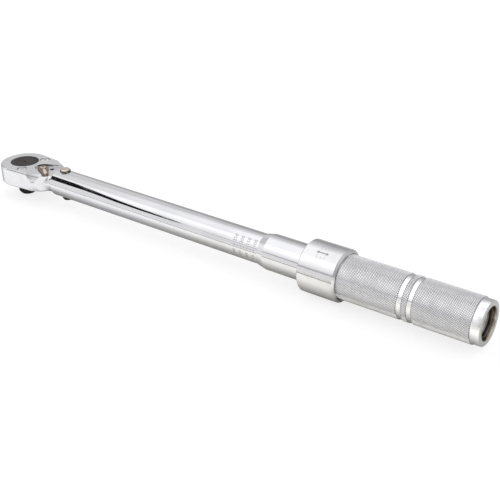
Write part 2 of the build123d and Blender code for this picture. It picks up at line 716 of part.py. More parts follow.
# calibration screw: a socket set screw in the load screw's end
with BuildPart() as calibration_screw:
    turned((PLUG_REAR - 12, 0), (PLUG_REAR - 1, 0), (PLUG_REAR - 1, 3.0), (PLUG_REAR - 12, 3.0))
    with BuildSketch(Plane(origin=(PLUG_REAR, 0, AXIS_Z), z_dir=(-1, 0, 0))):
        RegularPolygon(1.5, 6, major_radius=False)
    extrude(amount=4, mode=Mode.SUBTRACT)
save(calibration_screw, "calibration_screw")

# end plug: joins the load screw to the grip
with BuildPart() as end_plug:
    turned(
        (PLUG_FRONT, PLUG_BORE),
        (PLUG_REAR, PLUG_BORE),
        (PLUG_REAR, PLUG_DISH[0]),
        (PLUG_REAR - PLUG_DISH_DEPTH, PLUG_DISH[1]),
        (PLUG_REAR - PLUG_DISH_DEPTH, PLUG_DISH[2]),
        (PLUG_REAR, PLUG_DISH[3]),
        (PLUG_REAR, END_BORE),
        (PLUG_FRONT, END_BORE),
    )
save(end_plug, "end_plug")

# end clip: internal snap ring behind the plug
with BuildPart() as end_clip:
    with BuildSketch(Plane(origin=(PLUG_REAR + 1.1, 0, AXIS_Z), x_dir=(0, 0, -1), z_dir=(1, 0, 0))):
        snap_ring(11.3, 13.4, 6.0, 0)
    extrude(amount=1.2)
save(end_clip, "end_clip")

# knurled grip: slides over the tube, pressed on the thimble
with BuildPart() as knurled_grip:
    grooves = []
    for start, end in GRIP_GROOVES:
        grooves.append((start, GRIP_RADIUS))
        grooves.append((start + 0.3, GRIP_GROOVE_RADIUS))
        grooves.append((end - 0.3, GRIP_GROOVE_RADIUS))
        grooves.append((end, GRIP_RADIUS))
    turned(
        (GRIP_FRONT, THIMBLE_RADIUS),
        (GRIP_FRONT, GRIP_RADIUS - 0.8),
        (GRIP_FRONT + 0.8, GRIP_RADIUS),
        *grooves,
        (GRIP_KNURL_END, GRIP_RADIUS),
        (GRIP_KNURL_END + 0.5, GRIP_BAND_RADIUS),
        (GRIP_END - 0.7, GRIP_BAND_RADIUS),
        (GRIP_END, GRIP_BAND_RADIUS - 0.7),
        (GRIP_END, END_BORE + 0.4),
        (GRIP_END - 0.4, END_BORE),
        (PLUG_REAR + 2.4, END_BORE),
        (PLUG_REAR + 2.4, END_BORE + 0.9),
        (PLUG_REAR + 1.0, END_BORE + 0.9),
        (PLUG_REAR + 1.0, END_BORE),
        (PLUG_FRONT - 1, END_BORE),
        (PLUG_FRONT - 1, THIMBLE_BORE),
        (THIMBLE_REAR, THIMBLE_BORE),
        (THIMBLE_REAR, THIMBLE_RADIUS),
    )
save(knurled_grip, "knurled_grip")

# thimble: the smooth sleeve that runs over the tube's scale, with holes for the lock balls
with BuildPart() as thimble:
    turned(
        (THIMBLE_FRONT, THIMBLE_BORE),
        (THIMBLE_FRONT, THIMBLE_RADIUS - 1.4),
        (THIMBLE_BEVEL_END, THIMBLE_RADIUS),
        (RING_FRONT + 0.4, THIMBLE_RADIUS),
        (RING_FRONT + 0.4, THIMBLE_RADIUS - 0.8),
        (RING_FRONT + 1.5, THIMBLE_RADIUS - 0.8),
        (RING_FRONT + 1.5, THIMBLE_RADIUS),
        (THIMBLE_REAR, THIMBLE_RADIUS),
        (THIMBLE_REAR, THIMBLE_BORE),
    )
    for ball in range(LOCK_BALLS):
        outward = (0, *reversed(polar(1, ball * 360 / LOCK_BALLS)))
        with BuildSketch(Plane(origin=(LOCK_BALL_X, 0, AXIS_Z), z_dir=outward)):
            Circle(LOCK_BALL_RADIUS + 0.05)
        extrude(amount=20, mode=Mode.SUBTRACT)
save(thimble, "thimble")

# ring clip: snap ring on the thimble, the lock ring's front stop
with BuildPart() as ring_clip:
    with BuildSketch(Plane(origin=(RING_FRONT + 0.45, 0, AXIS_Z), x_dir=(0, 0, -1), z_dir=(1, 0, 0))):
        snap_ring(THIMBLE_RADIUS - 0.75, 16.3, 2.0, 0)
    extrude(amount=1.0)
save(ring_clip, "ring_clip")

# lock ring: slides back against its spring; its inner cone holds the balls down
with BuildPart() as lock_ring:
    cone_front = LOCK_BALL_X - 7.2
    cone_rear = LOCK_BALL_X + 2.2
    turned(
        (RING_FRONT, RING_FRONT_BORE),
        (RING_FRONT, RING_RADIUS - 1.0),
        (RING_FRONT + 1.0, RING_RADIUS),
        (RING_REAR - 1.6, RING_RADIUS),
        (RING_REAR, RING_RADIUS - 1.6),
        (RING_REAR, RING_SKIRT_BORE),
        (cone_rear + 1.3, RING_SKIRT_BORE),
        (cone_rear + 1.3, CONE_RADIUS_AT_BALL - CONE_SLOPE * (cone_rear - LOCK_BALL_X)),
        (cone_rear, CONE_RADIUS_AT_BALL - CONE_SLOPE * (cone_rear - LOCK_BALL_X)),
        (cone_front, CONE_RADIUS_AT_BALL - CONE_SLOPE * (cone_front - LOCK_BALL_X)),
        (cone_front, RING_BORE),
        (RING_FRONT + 1.7, RING_BORE),
        (RING_FRONT + 1.7, RING_FRONT_BORE),
    )
save(lock_ring, "lock_ring")

# lock spring: pushes the lock ring forward from the grip's front face
with BuildPart() as lock_spring:
    coil((LOCK_BALL_X + 4.2, 0, AXIS_Z), (1, 0, 0), GRIP_FRONT - LOCK_BALL_X - 4.9, 16.6, 0.6, 3)
save(lock_spring, "lock_spring")

# lock balls: wedged between the ring's cone and the tube
for ball in range(LOCK_BALLS):
    across, up = reversed(polar(LOCK_BALL_ORBIT, ball * 360 / LOCK_BALLS))
    with BuildPart() as lock_ball:
        with Locations((LOCK_BALL_X, across, AXIS_Z + up)):
            Sphere(LOCK_BALL_RADIUS)
    save(lock_ball, f"lock_ball_{ball + 1}")
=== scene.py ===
import bpy
import bmesh
import math
import random
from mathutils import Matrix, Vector


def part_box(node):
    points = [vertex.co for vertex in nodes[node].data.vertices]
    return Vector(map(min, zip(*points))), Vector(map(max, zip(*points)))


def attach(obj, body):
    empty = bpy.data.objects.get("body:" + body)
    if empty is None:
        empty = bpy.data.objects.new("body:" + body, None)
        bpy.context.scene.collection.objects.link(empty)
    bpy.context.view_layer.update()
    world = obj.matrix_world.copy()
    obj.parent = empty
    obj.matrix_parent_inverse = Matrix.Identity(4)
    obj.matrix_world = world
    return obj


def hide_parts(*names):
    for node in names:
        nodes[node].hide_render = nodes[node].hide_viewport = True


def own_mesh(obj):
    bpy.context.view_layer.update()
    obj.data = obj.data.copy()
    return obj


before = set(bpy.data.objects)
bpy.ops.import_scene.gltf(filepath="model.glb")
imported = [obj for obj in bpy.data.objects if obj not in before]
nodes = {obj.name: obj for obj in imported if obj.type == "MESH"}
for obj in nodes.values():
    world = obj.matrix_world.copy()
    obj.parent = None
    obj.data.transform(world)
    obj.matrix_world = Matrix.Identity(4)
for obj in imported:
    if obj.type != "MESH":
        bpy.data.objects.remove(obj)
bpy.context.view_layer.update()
mm = 0.001
print("frame loaded:", len(nodes), "parts")


# the tube's middle line, and where the handle starts and stops along it
tubeLow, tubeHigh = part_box("wrench_tube")
gripLow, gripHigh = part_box("knurled_grip")
axisHeight = (tubeLow.z + tubeHigh.z) / 2


# camera
cameraSetup = {
    "place": (0.65765, -0.52001, 0.35384),
    "target": (0.2827, 0.0, 0.0302),
    "lens": 65.35,
    "sensor": 36.0,
    "shiftX": -0.0309,
    "shiftY": -0.0193,
    "nearClip": 0.01,
    "farClip": 50,
}


def makeCamera(setup):
    data = bpy.data.cameras.new("mainCamera")
    data.lens = setup["lens"]
    data.sensor_width = setup["sensor"]
    data.shift_x = setup["shiftX"]
    data.shift_y = setup["shiftY"]
    data.clip_start = setup["nearClip"]
    data.clip_end = setup["farClip"]
    camera = bpy.data.objects.new("mainCamera", data)
    bpy.context.scene.collection.objects.link(camera)
    camera.location = setup["place"]
    look = Vector(setup["target"]) - camera.location
    camera.rotation_mode = "QUATERNION"
    camera.rotation_quaternion = look.to_track_quat("-Z", "Y")
    bpy.context.scene.camera = camera


makeCamera(cameraSetup)
print("camera placed")


# node helpers: add a node, set its inputs, do a sum, rescale a value, mix a second colour over a first
def addNode(tree, kind, x=0, y=0, **settings):
    node = tree.nodes.new(kind)
    node.location = (x, y)
    for key, value in settings.items():
        setattr(node, key, value)
    return node


def setInputs(node, values):
    for key, value in values.items():
        node.inputs[key].default_value = value
    return node


def maths(tree, operation, first, second, x=0, y=0, clamp=False):
    node = addNode(tree, "ShaderNodeMath", x, y, operation=operation, use_clamp=clamp)
    for index, value in enumerate((first, second)):
        if isinstance(value, (int, float)):
            node.inputs[index].default_value = value
        else:
            tree.links.new(value, node.inputs[index])
    return node.outputs[0]


def mapped(tree, value, low, high, x, y, outLow=0.0, outHigh=1.0):
    node = addNode(tree, "ShaderNodeMapRange", x, y)
    setInputs(node, {"From Min": low, "From Max": high, "To Min": outLow, "To Max": outHigh})
    tree.links.new(value, node.inputs["Value"])
    return node.outputs["Result"]


def tintOver(tree, color, factor, tint, x, y):
    blend = addNode(tree, "ShaderNodeMix", x, y, data_type="RGBA")
    tree.links.new(factor, blend.inputs["Factor"])
    tree.links.new(color, blend.inputs["A"])
    blend.inputs["B"].default_value = tint
    return blend.outputs["Result"]


# studio: a pale floor, a soft dome, and cards that only show in the metal
studio = {
    "floorSize": 14.0,
    # the floor as the metal mirrors it: cool by the head, warm by the handle, between these x
    "floorCool": (0.885, 0.885, 0.90, 1),
    "floorWarm": (0.885, 0.868, 0.825, 1),
    "warmFrom": 0.10,
    "warmTo": 0.26,
    # the floor as the camera sees it
    "cameraAlbedo": 0.30,
    "cameraGlow": 0.76,
    # glow in the mirrored floor, none at the first y and full at the second, and then shade, which
    # starts and is full at the contact y and goes on behind the wrench
    "nearGlow": 0.24,
    "nearFrom": -0.112,
    "nearTo": -0.098,
    "contactFrom": -0.046,
    "contactTo": -0.006,
    "contactShade": 0.62,
    "domeStrength": 1.0,
    "skyBlue": 1.02,
    # height of the sky (-1 straight down, 1 straight up) and how bright the metal sees it
    "skyRamp": [
        (-1.0, 0.80), (-0.02, 0.80), (0.0, 0.42), (0.34, 0.50), (0.56, 0.62),
        (0.69, 0.76), (0.77, 1.00), (0.84, 1.18), (0.94, 1.15), (1.0, 1.00),
    ],
    # darker or brighter quarters of the dome: direction, where they start and are full, factor
    "quarters": [
        ((-0.62, -0.76, 0.22), 0.68, 0.92, 1.95),
        ((-0.30, 0.93, 0.15), 0.86, 0.985, 0.85),
        ((-0.74, 0.57, 0.37), 0.955, 0.99, 1.30),
    ],
}


def makeWorld(setup):
    world = bpy.data.worlds.new("studioDome")
    bpy.context.scene.world = world
    world.use_nodes = True
    tree = world.node_tree
    tree.nodes.clear()
    out = addNode(tree, "ShaderNodeOutputWorld", 900, 0)
    coords = addNode(tree, "ShaderNodeTexCoord", -900, 0)
    split = addNode(tree, "ShaderNodeSeparateXYZ", -700, 0)
    tree.links.new(coords.outputs["Generated"], split.inputs[0])
    raised = maths(tree, "ADD", split.outputs["Z"], 1.0, -600, 0)
    height = maths(tree, "MULTIPLY", raised, 0.5, -500, 0)
    ramp = addNode(tree, "ShaderNodeValToRGB", -300, 0)
    steps = ramp.color_ramp.elements
    while len(steps) < len(setup["skyRamp"]):
        steps.new(0.5)
    for step, (place, value) in zip(steps, setup["skyRamp"]):
        step.position = (place + 1) / 2
        step.color = (value, value, value * setup["skyBlue"], 1)
    tree.links.new(height, ramp.inputs[0])
    strength = 1.0
    for index, (direction, start, full, factor) in enumerate(setup["quarters"]):
        y = -300 - 300 * index
        facing = addNode(tree, "ShaderNodeVectorMath", -700, y, operation="DOT_PRODUCT")
        tree.links.new(coords.outputs["Generated"], facing.inputs[0])
        facing.inputs[1].default_value = Vector(direction).normalized()
        patch = addNode(tree, "ShaderNodeMapRange", -500, y, interpolation_type="SMOOTHSTEP")
        setInputs(patch, {"From Min": start, "From Max": full, "To Min": 1.0, "To Max": factor})
        tree.links.new(facing.outputs["Value"], patch.inputs["Value"])
        strength = maths(tree, "MULTIPLY", strength, patch.outputs["Result"], -200, y)
    paths = addNode(tree, "ShaderNodeLightPath", 0, 400)
    studioGlow = addNode(tree, "ShaderNodeBackground", 300, -100)
    tree.links.new(ramp.outputs["Color"], studioGlow.inputs["Color"])
    tree.links.new(strength, studioGlow.inputs["Strength"])
    plainGlow = addNode(tree, "ShaderNodeBackground", 300, 100)
    setInputs(plainGlow, {"Color": (1, 1, 1, 1), "Strength": setup["domeStrength"]})
    mix = addNode(tree, "ShaderNodeMixShader", 600, 0)
    tree.links.new(paths.outputs["Is Glossy Ray"], mix.inputs[0])
    tree.links.new(plainGlow.outputs[0], mix.inputs[1])
    tree.links.new(studioGlow.outputs[0], mix.inputs[2])
    tree.links.new(mix.outputs[0], out.inputs[0])


def flatSheet(name, corners, material):
    mesh = bpy.data.meshes.new(name)
    mesh.from_pydata(corners, [], [tuple(range(len(corners)))])
    mesh.materials.append(material)
    sheet = bpy.data.objects.new(name, mesh)
    bpy.context.scene.collection.objects.link(sheet)
    return sheet


def emptyMaterial(name):
    material = bpy.data.materials.new(name)
    material.use_nodes = True
    material.node_tree.nodes.clear()
    return material, addNode(material.node_tree, "ShaderNodeOutputMaterial", 900, 0)


def addFloorLook(tree, tint, albedo, glowStrength, y):
    matte = addNode(tree, "ShaderNodeBsdfDiffuse", 0, y)
    if tint is None:
        matte.inputs["Color"].default_value = (albedo, albedo, albedo, 1)
    else:
        tree.links.new(tint, matte.inputs["Color"])
    glow = addNode(tree, "ShaderNodeEmission", 0, y - 150)
    glow.inputs["Color"].default_value = (1, 1, 1, 1)
    if isinstance(glowStrength, float):
        glow.inputs["Strength"].default_value = glowStrength
    else:
        tree.links.new(glowStrength, glow.inputs["Strength"])
    both = addNode(tree, "ShaderNodeAddShader", 300, y)
    tree.links.new(matte.outputs[0], both.inputs[0])
    tree.links.new(glow.outputs[0], both.inputs[1])
    return both.outputs[0]


def makeFloor(setup):
    material, out = emptyMaterial("paleFloor")
    tree = material.node_tree
    coords = addNode(tree, "ShaderNodeTexCoord", -900, 0)
    split = addNode(tree, "ShaderNodeSeparateXYZ", -700, 0)
    tree.links.new(coords.outputs["Object"], split.inputs[0])
    warmth = addNode(tree, "ShaderNodeMapRange", -500, 0, interpolation_type="SMOOTHSTEP")
    setInputs(warmth, {"From Min": setup["warmFrom"], "From Max": setup["warmTo"]})
    tree.links.new(split.outputs["X"], warmth.inputs["Value"])
    tint = addNode(tree, "ShaderNodeMix", -300, 0, data_type="RGBA")
    tree.links.new(warmth.outputs["Result"], tint.inputs["Factor"])
    tint.inputs["A"].default_value = setup["floorCool"]
    tint.inputs["B"].default_value = setup["floorWarm"]
    near = addNode(tree, "ShaderNodeMapRange", -500, -300, interpolation_type="SMOOTHSTEP")
    setInputs(near, {
        "From Min": setup["nearFrom"], "From Max": setup["nearTo"], "To Max": setup["nearGlow"],
    })
    tree.links.new(split.outputs["Y"], near.inputs["Value"])
    contact = addNode(tree, "ShaderNodeMapRange", -500, -600, interpolation_type="SMOOTHSTEP")
    setInputs(contact, {
        "From Min": setup["contactFrom"], "From Max": setup["contactTo"],
        "To Min": 1.0, "To Max": setup["contactShade"],
    })
    tree.links.new(split.outputs["Y"], contact.inputs["Value"])
    shaded = addNode(tree, "ShaderNodeMix", -100, -100, data_type="RGBA", blend_type="MULTIPLY")
    shaded.inputs["Factor"].default_value = 1.0
    tree.links.new(tint.outputs["Result"], shaded.inputs["A"])
    tree.links.new(contact.outputs["Result"], shaded.inputs["B"])
    glowHere = mapped(tree, contact.outputs["Result"], setup["contactShade"], 1.0, -300, -600)
    nearGlow = maths(tree, "MULTIPLY", near.outputs["Result"], glowHere, -100, -500)
    seen = addFloorLook(tree, None, setup["cameraAlbedo"], setup["cameraGlow"], 300)
    mirrored = addFloorLook(tree, shaded.outputs["Result"], None, nearGlow, -300)
    paths = addNode(tree, "ShaderNodeLightPath", 0, 600)
    pick = addNode(tree, "ShaderNodeMixShader", 600, 0)
    tree.links.new(paths.outputs["Is Camera Ray"], pick.inputs[0])
    tree.links.new(mirrored, pick.inputs[1])
    tree.links.new(seen, pick.inputs[2])
    tree.links.new(pick.outputs[0], out.inputs[0])
    half = setup["floorSize"] / 2
    corners = [(-half, -half, 0), (half, -half, 0), (half, half, 0), (-half, half, 0)]
    flatSheet("studioFloor", corners, material)


# cards in front of the wrench that only show in the metal, in metres: a dark flag, a grey strip beside
# it that lightens between two heights, and a thin dark edge lying on the floor
cardPlane = -0.7
edgeHeight = 0.0005
studioCards = {
    "darkFlag": {
        "corners": [
            (x, cardPlane, z) for x, z in (
                (-0.331, 0.225), (-0.368, 0.335), (-0.491, 0.405), (-0.613, 0.530), (-0.788, 0.737),
                (-1.137, 1.098), (-1.312, 1.193), (-1.100, 0.760), (-0.701, 0.330), (-0.600, 0.345),
                (-0.494, 0.225), (-0.424, 0.195),
            )
        ],
        "shade": (0.006, 0.006, 0.008, 1),
    },
    "greyStrip": {
        "corners": [
            (x, cardPlane, z) for x, z in (
                (-0.331, 0.225), (-0.368, 0.335), (-0.200, 0.330), (-0.050, 0.270),
                (0.300, 0.240), (0.300, 0.170), (-0.050, 0.160), (-0.200, 0.200),
            )
        ],
        "shade": (0.36, 0.35, 0.37, 1),
        "fade": (0.190, 0.300, (1.05, 1.05, 1.06, 1)),
    },
    "floorEdge": {
        "corners": [
            (-0.120, -0.086, edgeHeight), (0.360, -0.096, edgeHeight),
            (0.360, -0.112, edgeHeight), (-0.120, -0.096, edgeHeight),
        ],
        "shade": (0.02, 0.02, 0.02, 1),
    },
}


def addCardFade(tree, glow, dark, low, high, light):
    coords = addNode(tree, "ShaderNodeTexCoord", -600, 0)
    split = addNode(tree, "ShaderNodeSeparateXYZ", -400, 0)
    tree.links.new(coords.outputs["Object"], split.inputs[0])
    rise = mapped(tree, split.outputs["Z"], low, high, -200, 0)
    blend = addNode(tree, "ShaderNodeMix", 100, 0, data_type="RGBA")
    tree.links.new(rise, blend.inputs["Factor"])
    blend.inputs["A"].default_value = dark
    blend.inputs["B"].default_value = light
    tree.links.new(blend.outputs["Result"], glow.inputs["Color"])


def makeCard(name, setup):
    material, out = emptyMaterial(name)
    glow = addNode(material.node_tree, "ShaderNodeEmission", 600, 0)
    setInputs(glow, {"Color": setup["shade"], "Strength": 1.0})
    material.node_tree.links.new(glow.outputs[0], out.inputs[0])
    if "fade" in setup:
        low, high, light = setup["fade"]
        addCardFade(material.node_tree, glow, setup["shade"], low, high, light)
    card = flatSheet(name, setup["corners"], material)
    card.visible_camera = False
    card.visible_diffuse = False
    card.visible_shadow = False


makeWorld(studio)
makeFloor(studio)
for cardName, cardSetup in studioCards.items():
    makeCard(cardName, cardSetup)
bpy.context.scene.view_settings.view_transform = "Standard"
print("studio set")


# shader groups, each built once and used by several finishes
def newGroup(name, inputs, outputs):
    group = bpy.data.node_groups.new(name, "ShaderNodeTree")
    for label, value in inputs.items():
        kind = "NodeSocketColor" if isinstance(value, tuple) and len(value) == 4 else "NodeSocketFloat"
        if isinstance(value, tuple) and len(value) == 3:
            kind = "NodeSocketVector"
        socket = group.interface.new_socket(label, in_out="INPUT", socket_type=kind)
        socket.default_value = value
    for label, kind in outputs.items():
        group.interface.new_socket(label, in_out="OUTPUT", socket_type=kind)
    start = addNode(group, "NodeGroupInput", -1200, 0)
    end = addNode(group, "NodeGroupOutput", 900, 0)
    return group, start, end


def noiseAt(tree, vector, scale, detail, x, y, roughness=0.5):
    noise = addNode(tree, "ShaderNodeTexNoise", x, y)
    setInputs(noise, {"Detail": detail, "Roughness": roughness})
    tree.links.new(vector, noise.inputs["Vector"])
    if isinstance(scale, (int, float)):
        noise.inputs["Scale"].default_value = scale
    else:
        tree.links.new(scale, noise.inputs["Scale"])
    return noise.outputs["Fac"]


# handled metal: smudges, fine hairline scratches and a slow drift of tone; each pair says where in its
# noise a smudge or a scratch starts and is full
wear = {
    "smudgeDetail": 5,
    "smudgeLimits": (0.42, 0.68),
    "smudgeTone": 0.35,
    "scratchDetail": 3,
    "scratchRoughness": 0.65,
    "scratchLimits": (0.56, 0.72),
}


def buildHandledMetal():
    inputs = {
        "Clean": (0.8, 0.8, 0.8, 1), "Tarnish": (0.5, 0.5, 0.5, 1), "Roughness": 0.1,
        "Smudge Size": 60.0, "Smudge": 0.1, "Scratch Stretch": (30.0, 900.0, 900.0), "Scratch": 0.1,
    }
    outputs = {"Color": "NodeSocketColor", "Roughness": "NodeSocketFloat", "Height": "NodeSocketFloat"}
    group, start, end = newGroup("handledMetal", inputs, outputs)
    links = group.links
    coords = addNode(group, "ShaderNodeTexCoord", -1200, -400)
    size = start.outputs["Smudge Size"]
    smudge = noiseAt(group, coords.outputs["Object"], size, wear["smudgeDetail"], -900, 200)
    smudgeMask = mapped(group, smudge, *wear["smudgeLimits"], -700, 200)
    stretched = addNode(group, "ShaderNodeVectorMath", -1000, -300, operation="MULTIPLY")
    links.new(coords.outputs["Object"], stretched.inputs[0])
    links.new(start.outputs["Scratch Stretch"], stretched.inputs[1])
    detail, roughness = wear["scratchDetail"], wear["scratchRoughness"]
    hair = noiseAt(group, stretched.outputs[0], 1.0, detail, -800, -300, roughness)
    hairMask = mapped(group, hair, *wear["scratchLimits"], -600, -300)
    smudgePart = maths(group, "MULTIPLY", smudgeMask, start.outputs["Smudge"], -400, 200)
    hairPart = maths(group, "MULTIPLY", hairMask, start.outputs["Scratch"], -400, -200)
    wearAndTopHighlight = maths(group, "ADD", smudgePart, hairPart, -200, 0)
    rough = maths(group, "ADD", start.outputs["Roughness"], wearAndTopHighlight, 0, -100, clamp=True)
    tone = addNode(group, "ShaderNodeMix", 200, 200, data_type="RGBA")
    smudgeTone = maths(group, "MULTIPLY", smudgeMask, wear["smudgeTone"], 0, 200)
    toneFactor = maths(group, "ADD", smudgeTone, hairPart, 100, 100, clamp=True)
    links.new(toneFactor, tone.inputs["Factor"])
    links.new(start.outputs["Clean"], tone.inputs["A"])
    links.new(start.outputs["Tarnish"], tone.inputs["B"])
    links.new(tone.outputs["Result"], end.inputs["Color"])
    links.new(rough, end.inputs["Roughness"])
    height = maths(group, "SUBTRACT", smudgePart, hairPart, 200, -300)
    links.new(height, end.inputs["Height"])
    return group


# a spot's place along the tube's middle line and its distance from it
def tubePlace(group):
    coords = addNode(group, "ShaderNodeTexCoord", -1200, -400)
    split = addNode(group, "ShaderNodeSeparateXYZ", -1000, -400)
    group.links.new(coords.outputs["Object"], split.inputs[0])
    down = maths(group, "SUBTRACT", split.outputs["Z"], axisHeight, -800, -500)
    pair = addNode(group, "ShaderNodeCombineXYZ", -600, -500)
    group.links.new(split.outputs["Y"], pair.inputs["X"])
    group.links.new(down, pair.inputs["Y"])
    length = addNode(group, "ShaderNodeVectorMath", -400, -500, operation="LENGTH")
    group.links.new(pair.outputs[0], length.inputs[0])
    return split.outputs["X"], length.outputs["Value"]


# turned grain: rings left by a lathe round the tube's middle line
def buildTurnedGrain():
    inputs = {"Rings Per Metre": 6000.0, "Depth": 0.2}
    group, start, end = newGroup("turnedGrain", inputs, {"Height": "NodeSocketFloat"})
    links = group.links
    place, distance = tubePlace(group)
    travel = maths(group, "ADD", place, distance, -200, -400)
    rings = maths(group, "MULTIPLY", travel, start.outputs["Rings Per Metre"], 0, -400)
    line = addNode(group, "ShaderNodeCombineXYZ", 150, -400)
    links.new(rings, line.inputs["X"])
    fine = noiseAt(group, line.outputs[0], 1.0, 2, 300, -400)
    links.new(maths(group, "MULTIPLY", fine, start.outputs["Depth"], 500, -400), end.inputs["Height"])
    return group


# painted shade low between the knurl's ridges and inside the bore, told by the distance from the tube's
# middle
# line: full at the inner distance, gone at the outer one, and none below the lowest
def buildPaintedRadialShade():
    inputs = {"Lowest": 0.0172, "Inner": 0.0173, "Outer": 0.0177}
    group, start, end = newGroup("paintedRadialShade", inputs, {"Mask": "NodeSocketFloat"})
    links = group.links
    distance = tubePlace(group)[1]
    depth = addNode(group, "ShaderNodeMapRange", 0, 0)
    links.new(distance, depth.inputs["Value"])
    links.new(start.outputs["Inner"], depth.inputs["From Min"])
    links.new(start.outputs["Outer"], depth.inputs["From Max"])
    setInputs(depth, {"To Min": 1.0, "To Max": 0.0})
    above = maths(group, "GREATER_THAN", distance, start.outputs["Lowest"], 0, 300)
    links.new(maths(group, "MULTIPLY", depth.outputs["Result"], above, 200, 100), end.inputs["Mask"])
    return group


# cast grain: the slightly pebbled skin of a forged or blackened part
def buildCastGrain():
    inputs = {"Size": 900.0, "Depth": 0.3}
    group, start, end = newGroup("castGrain", inputs, {"Height": "NodeSocketFloat"})
    coords = addNode(group, "ShaderNodeTexCoord", -1200, -400)
    bumps = noiseAt(group, coords.outputs["Object"], start.outputs["Size"], 4, -600, 0, 0.6)
    group.links.new(maths(group, "MULTIPLY", bumps, start.outputs["Depth"], -300, 0), end.inputs["Height"])
    return group


# painted highlight on the tops: a mask from 0 at one height of the frame to 1 at another
def buildPaintedTopHighlight():
    inputs = {"Low": 0.0086, "High": 0.0094}
    group, start, end = newGroup("paintedTopHighlight", inputs, {"Mask": "NodeSocketFloat"})
    coords = addNode(group, "ShaderNodeTexCoord", -1200, -400)
    split = addNode(group, "ShaderNodeSeparateXYZ", -1000, -400)
    group.links.new(coords.outputs["Object"], split.inputs[0])
    height = addNode(group, "ShaderNodeMapRange", -400, 0)
    group.links.new(split.outputs["Z"], height.inputs["Value"])
    group.links.new(start.outputs["Low"], height.inputs["From Min"])
    group.links.new(start.outputs["High"], height.inputs["From Max"])
    group.links.new(height.outputs["Result"], end.inputs["Mask"])
    return group


# blasted faces: 1 on faces that look straight up or down the drive axis, 0 on the polished sides
def buildBlastedFace():
    inputs = {"Start": 0.93, "Full": 0.985}
    group, start, end = newGroup("blastedFace", inputs, {"Mask": "NodeSocketFloat"})
    coords = addNode(group, "ShaderNodeTexCoord", -1200, -400)
    split = addNode(group, "ShaderNodeSeparateXYZ", -1000, -400)
    group.links.new(coords.outputs["Normal"], split.inputs[0])
    upright = maths(group, "ABSOLUTE", split.outputs["Z"], 0.0, -800, -400)
    facing = addNode(group, "ShaderNodeMapRange", -400, 0)
    group.links.new(upright, facing.inputs["Value"])
    group.links.new(start.outputs["Start"], facing.inputs["From Min"])
    group.links.new(start.outputs["Full"], facing.inputs["From Max"])
    group.links.new(facing.outputs["Result"], end.inputs["Mask"])
    return group


shaderGroups = {
    "wearAndTopHighlight": buildPaintedTopHighlight(),
    "blasted": buildBlastedFace(),
    "handled": buildHandledMetal(),
    "turned": buildTurnedGrain(),
    "radialShade": buildPaintedRadialShade(),
    "cast": buildCastGrain(),
}

along = (25.0, 1500.0, 1500.0)      # hairlines that run with the tube
around = (1800.0, 60.0, 60.0)       # hairlines that run round it
anyWay = (420.0, 420.0, 420.0)
